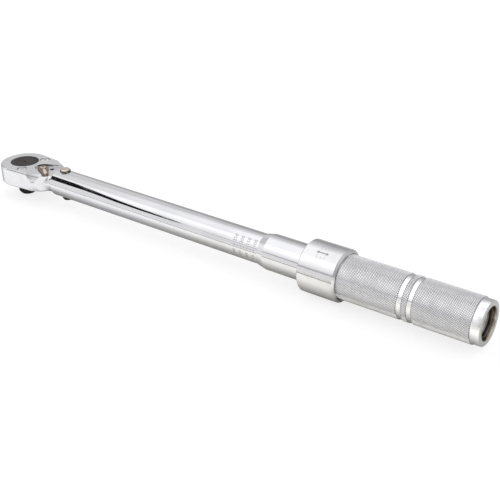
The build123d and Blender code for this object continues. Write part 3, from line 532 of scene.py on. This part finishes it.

# every finish: clean and tarnished colour, gloss, smudges, scratches, and which grain it carries
# top highlight: two heights above the tube's middle line, colour of the painted highlight on the top
# radial shade: lowest, inner and outer distance from that line, colour, amount, painted shade in the
# knurl;
# bore: the same without a lowest, painted brown shade inside the bore
finishes = {
    "polishedChrome": {
        "clean": (0.80, 0.80, 0.815, 1), "tarnish": (0.66, 0.66, 0.67, 1), "roughness": 0.055,
        "smudgeSize": 34.0, "smudge": 0.05, "stretch": along, "scratch": 0.06, "bump": 0.010,
    },
    "ringChrome": {
        "clean": (0.80, 0.80, 0.81, 1), "tarnish": (0.64, 0.63, 0.62, 1), "roughness": 0.075,
        "smudgeSize": 60.0, "smudge": 0.07, "stretch": around, "scratch": 0.14, "bump": 0.015,
        "turned": (5200.0, 0.10),
    },
    "satinChrome": {
        "clean": (0.79, 0.79, 0.80, 1), "tarnish": (0.66, 0.66, 0.67, 1), "roughness": 0.07,
        "smudgeSize": 90.0, "smudge": 0.06, "stretch": anyWay, "scratch": 0.06, "bump": 0.010,
        "cast": (700.0, 0.4), "blasted": 0.24,
    },
    "knurledChrome": {
        "clean": (0.93, 0.93, 0.945, 1), "tarnish": (0.78, 0.77, 0.76, 1), "roughness": 0.15,
        "smudgeSize": 120.0, "smudge": 0.10, "stretch": around, "scratch": 0.10, "bump": 0.02,
        # painted shade in the knurl's valleys: dark grey laid on where the metal is nearest the middle
        # line
        "radialShade": (0.01728, 0.01734, 0.01754, (0.13, 0.13, 0.135, 1), 0.85),
        # painted brown shade inside the bore
        "bore": (0.0130, 0.0134, (0.46, 0.39, 0.32, 1), 0.85),
    },
    "leverBronze": {
        "clean": (0.30, 0.22, 0.17, 1), "tarnish": (0.16, 0.11, 0.085, 1), "roughness": 0.22,
        "smudgeSize": 260.0, "smudge": 0.12, "stretch": anyWay, "scratch": 0.10, "bump": 0.05,
        # the lever's raised top is lightened as a painted highlight
        "cast": (1500.0, 0.4), "wearAndTopHighlight": (0.0088, 0.0098, (0.90, 0.83, 0.73, 1)),
    },
    # the pivot pin is painted dark as shade round its base, with a painted highlight on its top
    "nickel": {
        "clean": (0.10, 0.085, 0.07, 1), "tarnish": (0.05, 0.045, 0.04, 1), "roughness": 0.20,
        "smudgeSize": 260.0, "smudge": 0.12, "stretch": anyWay, "scratch": 0.10, "bump": 0.05,
        "cast": (1500.0, 0.4), "wearAndTopHighlight": (0.0090, 0.0110, (0.70, 0.62, 0.52, 1)),
    },
    "brightSteel": {
        "clean": (0.92, 0.92, 0.93, 1), "tarnish": (0.66, 0.65, 0.63, 1), "roughness": 0.10,
        "smudgeSize": 300.0, "smudge": 0.10, "stretch": anyWay, "scratch": 0.12, "bump": 0.03,
    },
    "blackOxide": {
        "clean": (0.012, 0.012, 0.013, 1), "tarnish": (0.035, 0.032, 0.030, 1), "roughness": 0.36,
        "smudgeSize": 300.0, "smudge": 0.15, "stretch": anyWay, "scratch": 0.12, "bump": 0.06,
        "cast": (1800.0, 0.6), "metallic": 0.6,
    },
    "brownedSteel": {
        "clean": (0.026, 0.020, 0.020, 1), "tarnish": (0.068, 0.052, 0.047, 1), "roughness": 0.36,
        "smudgeSize": 200.0, "smudge": 0.15, "stretch": anyWay, "scratch": 0.16, "bump": 0.06,
        "cast": (1500.0, 0.7), "metallic": 0.7,
    },
    "bareSteel": {
        "clean": (0.56, 0.56, 0.56, 1), "tarnish": (0.34, 0.31, 0.28, 1), "roughness": 0.28,
        "smudgeSize": 160.0, "smudge": 0.14, "stretch": around, "scratch": 0.14, "bump": 0.03,
        "turned": (4200.0, 0.4),
    },
    "springSteel": {
        "clean": (0.36, 0.36, 0.37, 1), "tarnish": (0.16, 0.14, 0.12, 1), "roughness": 0.26,
        "smudgeSize": 220.0, "smudge": 0.12, "stretch": anyWay, "scratch": 0.12, "bump": 0.03,
    },
    "etchedMark": {
        "clean": (0.40, 0.40, 0.41, 1), "tarnish": (0.24, 0.23, 0.22, 1), "roughness": 0.42,
        "smudgeSize": 500.0, "smudge": 0.12, "stretch": anyWay, "scratch": 0.10, "bump": 0.04,
    },
    "bearingSteel": {
        "clean": (0.74, 0.74, 0.75, 1), "tarnish": (0.55, 0.54, 0.52, 1), "roughness": 0.05,
        "smudgeSize": 400.0, "smudge": 0.06, "stretch": anyWay, "scratch": 0.05, "bump": 0.01,
    },
}


def placeGroup(tree, key, values, x, y):
    node = addNode(tree, "ShaderNodeGroup", x, y)
    node.node_tree = shaderGroups[key]
    return setInputs(node, values)


def makeFinish(name, look):
    material = bpy.data.materials.new(name)
    material.use_nodes = True
    tree = material.node_tree
    shader = tree.nodes["Principled BSDF"]
    shader.inputs["Metallic"].default_value = look.get("metallic", 1.0)
    handled = placeGroup(tree, "handled", {
        "Clean": look["clean"], "Tarnish": look["tarnish"], "Roughness": look["roughness"],
        "Smudge Size": look["smudgeSize"], "Smudge": look["smudge"],
        "Scratch Stretch": look["stretch"], "Scratch": look["scratch"],
    }, -900, 0)
    color, height = handled.outputs["Color"], handled.outputs["Height"]
    for key, labels in (("turned", ("Rings Per Metre", "Depth")), ("cast", ("Size", "Depth"))):
        if key in look:
            grain = placeGroup(tree, key, dict(zip(labels, look[key])), -900, -400)
            height = maths(tree, "ADD", height, grain.outputs["Height"], -600, -400)
    # painted brown shade inside the bore, darker towards the middle line
    if "bore" in look:
        inner, outer, boreShadeColor, amount = look["bore"]
        bore = placeGroup(tree, "radialShade", {"Lowest": 0.0, "Inner": inner, "Outer": outer}, -900, 900)
        boreShade = maths(tree, "MULTIPLY", bore.outputs["Mask"], amount, -700, 900)
        color = tintOver(tree, color, boreShade, boreShadeColor, -500, 900)
    # painted shade low between the knurl's ridges
    if "radialShade" in look:
        lowest, inner, outer, shadeColor, amount = look["radialShade"]
        radialShade = placeGroup(tree, "radialShade", {"Lowest": lowest, "Inner": inner, "Outer": outer}, -900, 400)
        shadedAmount = maths(tree, "MULTIPLY", radialShade.outputs["Mask"], amount, -600, 400)
        color = tintOver(tree, color, shadedAmount, shadeColor, -400, 200)
    roughness = handled.outputs["Roughness"]
    # painted highlight: the tops above a height are lightened
    if "wearAndTopHighlight" in look:
        low, high, highlightColor = look["wearAndTopHighlight"]
        wearAndTopHighlight = placeGroup(tree, "wearAndTopHighlight", {"Low": axisHeight + low, "High": axisHeight + high}, -900, 700)
        color = tintOver(tree, color, wearAndTopHighlight.outputs["Mask"], highlightColor, -200, 500)
    if "blasted" in look:
        blasted = placeGroup(tree, "blasted", {}, -900, 700)
        extra = maths(tree, "MULTIPLY", blasted.outputs["Mask"], look["blasted"], -400, 700)
        roughness = maths(tree, "ADD", roughness, extra, -200, 700, clamp=True)
    bump = addNode(tree, "ShaderNodeBump", -300, -300)
    setInputs(bump, {"Strength": look["bump"], "Distance": mm})
    tree.links.new(height, bump.inputs["Height"])
    tree.links.new(color, shader.inputs["Base Color"])
    tree.links.new(roughness, shader.inputs["Roughness"])
    tree.links.new(bump.outputs["Normal"], shader.inputs["Normal"])
    return material


finishMaterials = {name: makeFinish(name, look) for name, look in finishes.items()}
print("finishes made:", len(finishMaterials))


# which finish each CAD part takes, with those that a new piece replaces further down
partFinishes = {
    "polishedChrome": ["wrench_tube", "thimble"],
    "ringChrome": ["lock_ring"],
    "satinChrome": ["ratchet_head", "cover_plate"],
    "brightSteel": ["cover_screws"],
    "leverBronze": ["reversing_lever"],
    "nickel": ["pivot_pin"],
    "blackOxide": [
        "pivot_clips", "end_clip", "ring_clip", "detent_seats", "lever_screw", "calibration_screw",
    ],
    "brownedSteel": ["drive_gear"],
    "knurledChrome": ["knurled_grip"],
    "bareSteel": [
        "load_nut", "nut_pins", "pawl", "pawl_pin", "pawl_plunger", "tilt_block", "thrust_plunger",
        "spring_seat", "load_screw", "end_plug",
    ],
    "springSteel": ["main_spring", "detent_spring", "pawl_spring", "lock_spring"],
    "bearingSteel": ["detent_ball", "thrust_ball", "lock_ball_1", "lock_ball_2", "lock_ball_3"],
}


def dressNodes(plan):
    for finish, names in plan.items():
        for name in names:
            mesh = nodes[name].data
            mesh.materials.clear()
            mesh.materials.append(finishMaterials[finish])


dressNodes(partFinishes)
print("parts dressed:", sum(len(names) for names in partFinishes.values()))


# knurled grip: diamond knurl in three bands, two plain grooves, a plain end band and the open end;
# lengths and radii in mm
grip = {
    "ridges": 72,            # diamonds round the grip
    "pitch": 1.55,           # length of a diamond along the grip
    "valley": 17.35,         # radius at the bottom of the knurl
    "flat": 0.42,            # how much of each diamond is worn flat at its top
    "unevenness": 0.012,     # how much the tops differ in height
    "seed": 11,              # starts the draw of those heights
    # where each knurled band starts and ends, measured from the grip's front
    "bands": [(0.45, 56.75), (60.45, 64.95), (68.55, 113.2)],
    "frontBevel": 0.45,
    "grooveRadius": 17.15,
    "grooveRamp": 0.25,      # length of the slope into a plain groove
    "bandRadius": 17.0,
    "bandRamp": 0.3,         # length of the slope down to the end band
    # rounded edges at the open end: how far in from it, and how far below the band or outside the bore
    "outerEdge": [(0.75, 0.0), (0.35, 0.15), (0.08, 0.5), (0.0, 0.8)],
    "innerEdge": [(0.0, 0.45), (0.12, 0.15), (0.45, 0.0)],
    "bore": 12.6,
    "clipGroove": (3.8, 5.2, 0.9),      # start and end measured from the open end, and depth
    "plugSeat": (14.7, 0.25),           # where the plug's bore ends, and how much wider it is past there
    "seat": 14.8,                       # radius of the bore at the front, over the thimble
    "seatLength": 20,
}


def addRing(mesh, x, radius, count):
    points = []
    for index in range(count):
        angle = 2 * math.pi * index / count
        place = (x, math.sin(angle) * radius, axisHeight + math.cos(angle) * radius)
        points.append(mesh.verts.new(place))
    return points


def joinRings(mesh, first, second):
    count = len(first)
    for index in range(count):
        after = (index + 1) % count
        mesh.faces.new((first[index], first[after], second[after], second[index]))


def turnRows(mesh, first, rows, count):
    for x, radius in rows:
        ring = addRing(mesh, x * mm, radius * mm, count)
        if first is not None:
            joinRings(mesh, first, ring)
        first = ring
    return first


def knurlBand(mesh, first, start, end, peak, setup, dice):
    count = 2 * setup["ridges"]
    steps = 2 * round((end - start) / setup["pitch"])
    length = (end - start) * mm / steps
    angleStep = 2 * math.pi / count

    def place(row, phase, radius):
        angle = phase * angleStep
        x = start * mm + row * length
        return (x, math.sin(angle) * radius, axisHeight + math.cos(angle) * radius)

    grid = [first]
    for row in range(1, steps + 1):
        plain = row == steps
        cells = [
            mesh.verts.new(place(row, i, setup["valley"] * mm)) if plain or i % 2 == row % 2 else None
            for i in range(count)
        ]
        grid.append(cells)
    flat = setup["flat"]
    for row in range(1, steps):
        for i in range(1 - row % 2, count, 2):
            top = (peak - dice.uniform(0, setup["unevenness"])) * mm
            corners = [grid[row][i - 1], grid[row - 1][i], grid[row][(i + 1) % count], grid[row + 1][i]]
            crown = [
                mesh.verts.new(place(row + down * flat, i + side * flat, top))
                for down, side in ((0, -1), (-1, 0), (0, 1), (1, 0))
            ]
            mesh.faces.new(crown)
            for k in range(4):
                mesh.faces.new((corners[k], corners[(k + 1) % 4], crown[(k + 1) % 4], crown[k]))
    for edge, inner in ((grid[0], grid[1]), (grid[steps], grid[steps - 1])):
        for i in range(1, count, 2):
            mesh.faces.new((edge[i - 1], edge[i], inner[i]))
            mesh.faces.new((edge[i], edge[(i + 1) % count], inner[i]))
    return grid[steps]


def finishMesh(mesh, name, material, sharpAngle=30):
    bmesh.ops.recalc_face_normals(mesh, faces=mesh.faces)
    data = bpy.data.meshes.new(name)
    mesh.to_mesh(data)
    mesh.free()
    data.materials.append(material)
    data.shade_smooth()
    data.set_sharp_from_angle(angle=math.radians(sharpAngle))
    piece = bpy.data.objects.new(name, data)
    bpy.context.scene.collection.objects.link(piece)
    return piece


def makeGrip(setup):
    mesh = bmesh.new()
    dice = random.Random(setup["seed"])
    count = 2 * setup["ridges"]
    front, back = gripLow.x / mm, gripHigh.x / mm
    peak = (gripHigh.z - axisHeight) / mm
    valley, groove, plain = setup["valley"], setup["grooveRadius"], setup["bandRadius"]
    bore, seat = setup["bore"], setup["seat"]
    bands = [(front + a, front + b) for a, b in setup["bands"]]
    rows = [(front, seat), (front, valley - setup["frontBevel"]), (bands[0][0], valley)]
    ring = turnRows(mesh, None, rows, count)
    ramp = setup["grooveRamp"]
    for index, (start, end) in enumerate(bands):
        ring = knurlBand(mesh, ring, start, end, peak, setup, dice)
        if index < len(bands) - 1:
            after = bands[index + 1][0]
            rows = [(end + ramp, groove), (after - ramp, groove), (after, valley)]
            ring = turnRows(mesh, ring, rows, count)
    clipStart, clipEnd, clipDepth = setup["clipGroove"]
    plugEnd, widening = setup["plugSeat"]
    rows = [(bands[-1][1] + setup["bandRamp"], plain)]
    rows += [(back - depth, plain - drop) for depth, drop in setup["outerEdge"]]
    rows += [(back - depth, bore + rise) for depth, rise in setup["innerEdge"]]
    rows += [
        (back - clipStart, bore), (back - clipStart, bore + clipDepth),
        (back - clipEnd, bore + clipDepth), (back - clipEnd, bore),
        (back - plugEnd, bore), (back - plugEnd, bore + widening),
        (front + setup["seatLength"], bore + widening), (front + setup["seatLength"], seat),
        (front, seat),
    ]
    turnRows(mesh, ring, rows, count)
    bmesh.ops.remove_doubles(mesh, verts=mesh.verts, dist=1e-6)
    piece = finishMesh(mesh, "knurledSleeve", finishMaterials["knurledChrome"])
    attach(piece, "handle")
    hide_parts("knurled_grip")
    return piece


sleeve = makeGrip(grip)
print("grip knurled:", len(sleeve.data.polygons), "faces")


# torque scale and ring marks: shallow raised figures, all plain numbers, ticks and arrows
marks = {
    "thickness": 0.035,      # mm above the metal
    "sink": 0.03,            # mm of each mark below the surface, so that no gap shows under it
    "upperAngle": 49.0,      # degrees round the tube from its top towards the near side
    "upperSize": 4.4,
    "upperFigures": ["100", "150", "200", "250"],
    "lowerAngle": 101.0,
    "lowerSize": 3.3,
    "lowerFigures": ["135", "205", "270", "340"],
    "firstFigure": 279.7,    # x of the figure nearest the thimble, mm
    "figurePitch": 6.35,
    "figureCurve": 3,        # steps in each curved stretch of a figure
    "datumAngle": 75.0,
    "datumTrim": 0.4,        # how many pitches the line falls short of the figures' row
    "datumShift": 1.2,       # mm the line is moved towards the thimble
    "tickLengths": (3.0, 1.6),
    "lineWidth": 0.24,
    "ringAngle": 26.0,
    "ringTickAngle": 11,     # degrees from the arrow to the ticks on either side
    "ringTickStep": 3.2,
    "ringTickLengths": (3.0, 2.3, 1.6),
    "ringArrow": [
        (-1.5, -3.2), (0, -5.4), (1.5, -3.2), (0.5, -3.2), (0.5, 3.2),
        (1.5, 3.2), (0, 5.4), (-1.5, 3.2), (-0.5, 3.2), (-0.5, -3.2),
    ],
}


def figureShapes(text, size, curveSteps):
    curve = bpy.data.curves.new("figure", "FONT")
    curve.body = text
    curve.size = size
    curve.align_x = "CENTER"
    curve.align_y = "CENTER"
    curve.resolution_u = curveSteps
    holder = bpy.data.objects.new("figure", curve)
    bpy.context.scene.collection.objects.link(holder)
    bpy.context.view_layer.update()
    graph = bpy.context.evaluated_depsgraph_get()
    shape = bpy.data.meshes.new_from_object(holder.evaluated_get(graph))
    corners = [(v.co.x, v.co.y) for v in shape.vertices]
    faces = [tuple(p.vertices) for p in shape.polygons]
    bpy.data.objects.remove(holder)
    bpy.data.curves.remove(curve)
    bpy.data.meshes.remove(shape)
    return corners, faces


def wrapShape(mesh, corners, faces, centreX, centreAngle, radius, setup):
    # the shape's up is towards the head, its right runs round the metal; two skins and a rim close it
    skins = []
    for lift in (-setup["sink"], setup["thickness"]):
        r = (radius + lift) * mm
        skin = []
        for right, up in corners:
            angle = math.radians(centreAngle) - right / radius
            place = ((centreX - up) * mm, -math.sin(angle) * r, axisHeight + math.cos(angle) * r)
            skin.append(mesh.verts.new(place))
        skins.append(skin)
    low, high = skins
    edgeUse = {}
    for face in faces:
        mesh.faces.new([high[i] for i in face])
        mesh.faces.new([low[i] for i in reversed(face)])
        for a, b in zip(face, face[1:] + face[:1]):
            edgeUse.setdefault(frozenset((a, b)), []).append((a, b))
    for uses in edgeUse.values():
        if len(uses) == 1:
            a, b = uses[0]
            mesh.faces.new((high[b], high[a], low[a], low[b]))


def wrapBar(mesh, x, angle, width, length, radius, setup, pieces=8):
    # a bar of this width along the tube and this length round it
    corners = []
    for index in range(pieces + 1):
        right = -length / 2 + length * index / pieces
        corners += [(right, -width / 2), (right, width / 2)]
    faces = [(2 * i, 2 * i + 2, 2 * i + 3, 2 * i + 1) for i in range(pieces)]
    wrapShape(mesh, corners, faces, x, angle, radius, setup)


def makeTubeScale(setup):
    mesh = bmesh.new()
    radius = (tubeHigh.z - axisHeight) / mm
    first, pitch = setup["firstFigure"], setup["figurePitch"]
    rows = (("upper", setup["upperFigures"]), ("lower", setup["lowerFigures"]))
    for row, figures in rows:
        for index, text in enumerate(figures):
            corners, faces = figureShapes(text, setup[row + "Size"], setup["figureCurve"])
            wrapShape(mesh, corners, faces, first - index * pitch, setup[row + "Angle"], radius, setup)
    angle, thin = setup["datumAngle"], setup["lineWidth"]
    for index in range(2 * len(setup["upperFigures"])):
        length = setup["tickLengths"][index % 2]
        wrapBar(mesh, first - index * pitch / 2, angle, thin, length, radius, setup)
    span = pitch * (len(setup["upperFigures"]) - setup["datumTrim"])
    wrapBar(mesh, first - span / 2 + setup["datumShift"], angle, span, thin, radius, setup, pieces=2)
    piece = finishMesh(mesh, "tubeScale", finishMaterials["etchedMark"])
    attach(piece, "tube")
    return piece


def makeRingMarks(setup):
    mesh = bmesh.new()
    low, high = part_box("lock_ring")
    radius = (high.z - low.z) / 2 / mm
    middle = (low.x + high.x) / 2 / mm
    outline = setup["ringArrow"]
    wrapShape(mesh, outline, [tuple(range(len(outline)))], middle, setup["ringAngle"], radius, setup)
    lengths = setup["ringTickLengths"]
    for side in (-1, 1):
        angle = setup["ringAngle"] + side * setup["ringTickAngle"]
        for row, length in enumerate(lengths):
            x = middle + setup["ringTickStep"] * (row - (len(lengths) - 1) / 2)
            wrapBar(mesh, x, angle, setup["lineWidth"], length, radius, setup)
    piece = finishMesh(mesh, "ringMarks", finishMaterials["etchedMark"])
    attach(piece, "ring")
    return piece


for piece in (makeTubeScale(marks), makeRingMarks(marks)):
    print("marks made:", piece.name, len(piece.data.polygons), "faces")


# springs: round wire coils with closer end turns, each listed with the joint that works it; lengths in
# mm, heights from the tube's middle line; mean and wire are radii; heldAt is the end that stays put
leverLean = math.radians(-34.0)
leverLine = (math.cos(leverLean), math.sin(leverLean), 0.0)
leverCentre = 25.2
pawlSpringHeight = 0.2


def onLever(distance):
    return (leverCentre + distance * leverLine[0], distance * leverLine[1], pawlSpringHeight)


springs = {
    "mainSpringCoil": {
        "node": "main_spring", "body": "tube", "joint": "handle_travel",
        "start": (174.3, 0.0, 0.0), "line": (1.0, 0.0, 0.0), "length": 152.9,
        "mean": 8.2, "wire": 2.2, "turns": 16, "endPitch": 0.5,
        "heldAt": (172.0, 0.0, 0.0), "keep": 0.822,
    },
    "lockSpringCoil": {
        "node": "lock_spring", "body": "handle", "joint": "ring_slide",
        "start": (343.2, 0.0, 0.0), "line": (1.0, 0.0, 0.0), "length": 8.1,
        "mean": 16.6, "wire": 0.6, "turns": 3, "endPitch": 0.6,
        "heldAt": (352.0, 0.0, 0.0), "keep": 0.465,
    },
    "detentSpringCoil": {
        "node": "detent_spring", "body": "drive", "joint": "drive_ball_press",
        "start": (-2.04, 0.0, -16.4), "line": (1.0, 0.0, 0.0), "length": 4.3,
        "mean": 1.6, "wire": 0.25, "turns": 5, "endPitch": 0.75,
        "heldAt": (2.6, 0.0, -16.4), "keep": 0.84,
    },
    "pawlSpringCoil": {
        "node": "pawl_spring", "body": "lever", "joint": "plunger_press",
        "start": onLever(-0.3), "line": leverLine, "length": 2.2,
        "mean": 1.0, "wire": 0.2, "turns": 4, "endPitch": 0.85,
        "heldAt": onLever(2.2), "keep": 0.66,
    },
}


def coilPath(setup, stepsPerTurn):
    steps = setup["turns"] * stepsPerTurn
    weights = [
        setup["endPitch"] if step < stepsPerTurn or step >= steps - stepsPerTurn else 1.0
        for step in range(steps)
    ]
    line = Vector(setup["line"])
    side = Vector((-line.y, line.x, 0.0))
    up = line.cross(side)
    start = Vector(setup["start"])
    whole = sum(weights)
    points = []
    done = 0.0
    for step in range(steps + 1):
        angle = 2 * math.pi * step / stepsPerTurn
        radial = side * math.cos(angle) + up * math.sin(angle)
        centre = start + line * (setup["length"] * done / whole) + radial * setup["mean"]
        points.append((centre, radial))
        done += weights[step] if step < steps else 0.0
    return line, points


def makeSpring(name, setup, stepsPerTurn=36, wireSides=12):
    mesh = bmesh.new()
    line, points = coilPath(setup, stepsPerTurn)
    lift = Vector((0.0, 0.0, axisHeight))
    rings = []
    for centre, radial in points:
        ring = []
        for side in range(wireSides):
            angle = 2 * math.pi * side / wireSides
            offset = (radial * math.cos(angle) + line * math.sin(angle)) * setup["wire"]
            ring.append(mesh.verts.new((centre + offset) * mm + lift))
        rings.append(ring)
    for first, second in zip(rings, rings[1:]):
        joinRings(mesh, first, second)
    mesh.faces.new(rings[0])
    mesh.faces.new(rings[-1])
    piece = finishMesh(mesh, name, finishMaterials["springSteel"], sharpAngle=50)
    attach(piece, setup["body"])
    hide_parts(setup["node"])
    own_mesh(piece)
    return piece


for springName, springSetup in springs.items():
    print("spring wound:", makeSpring(springName, springSetup).name)
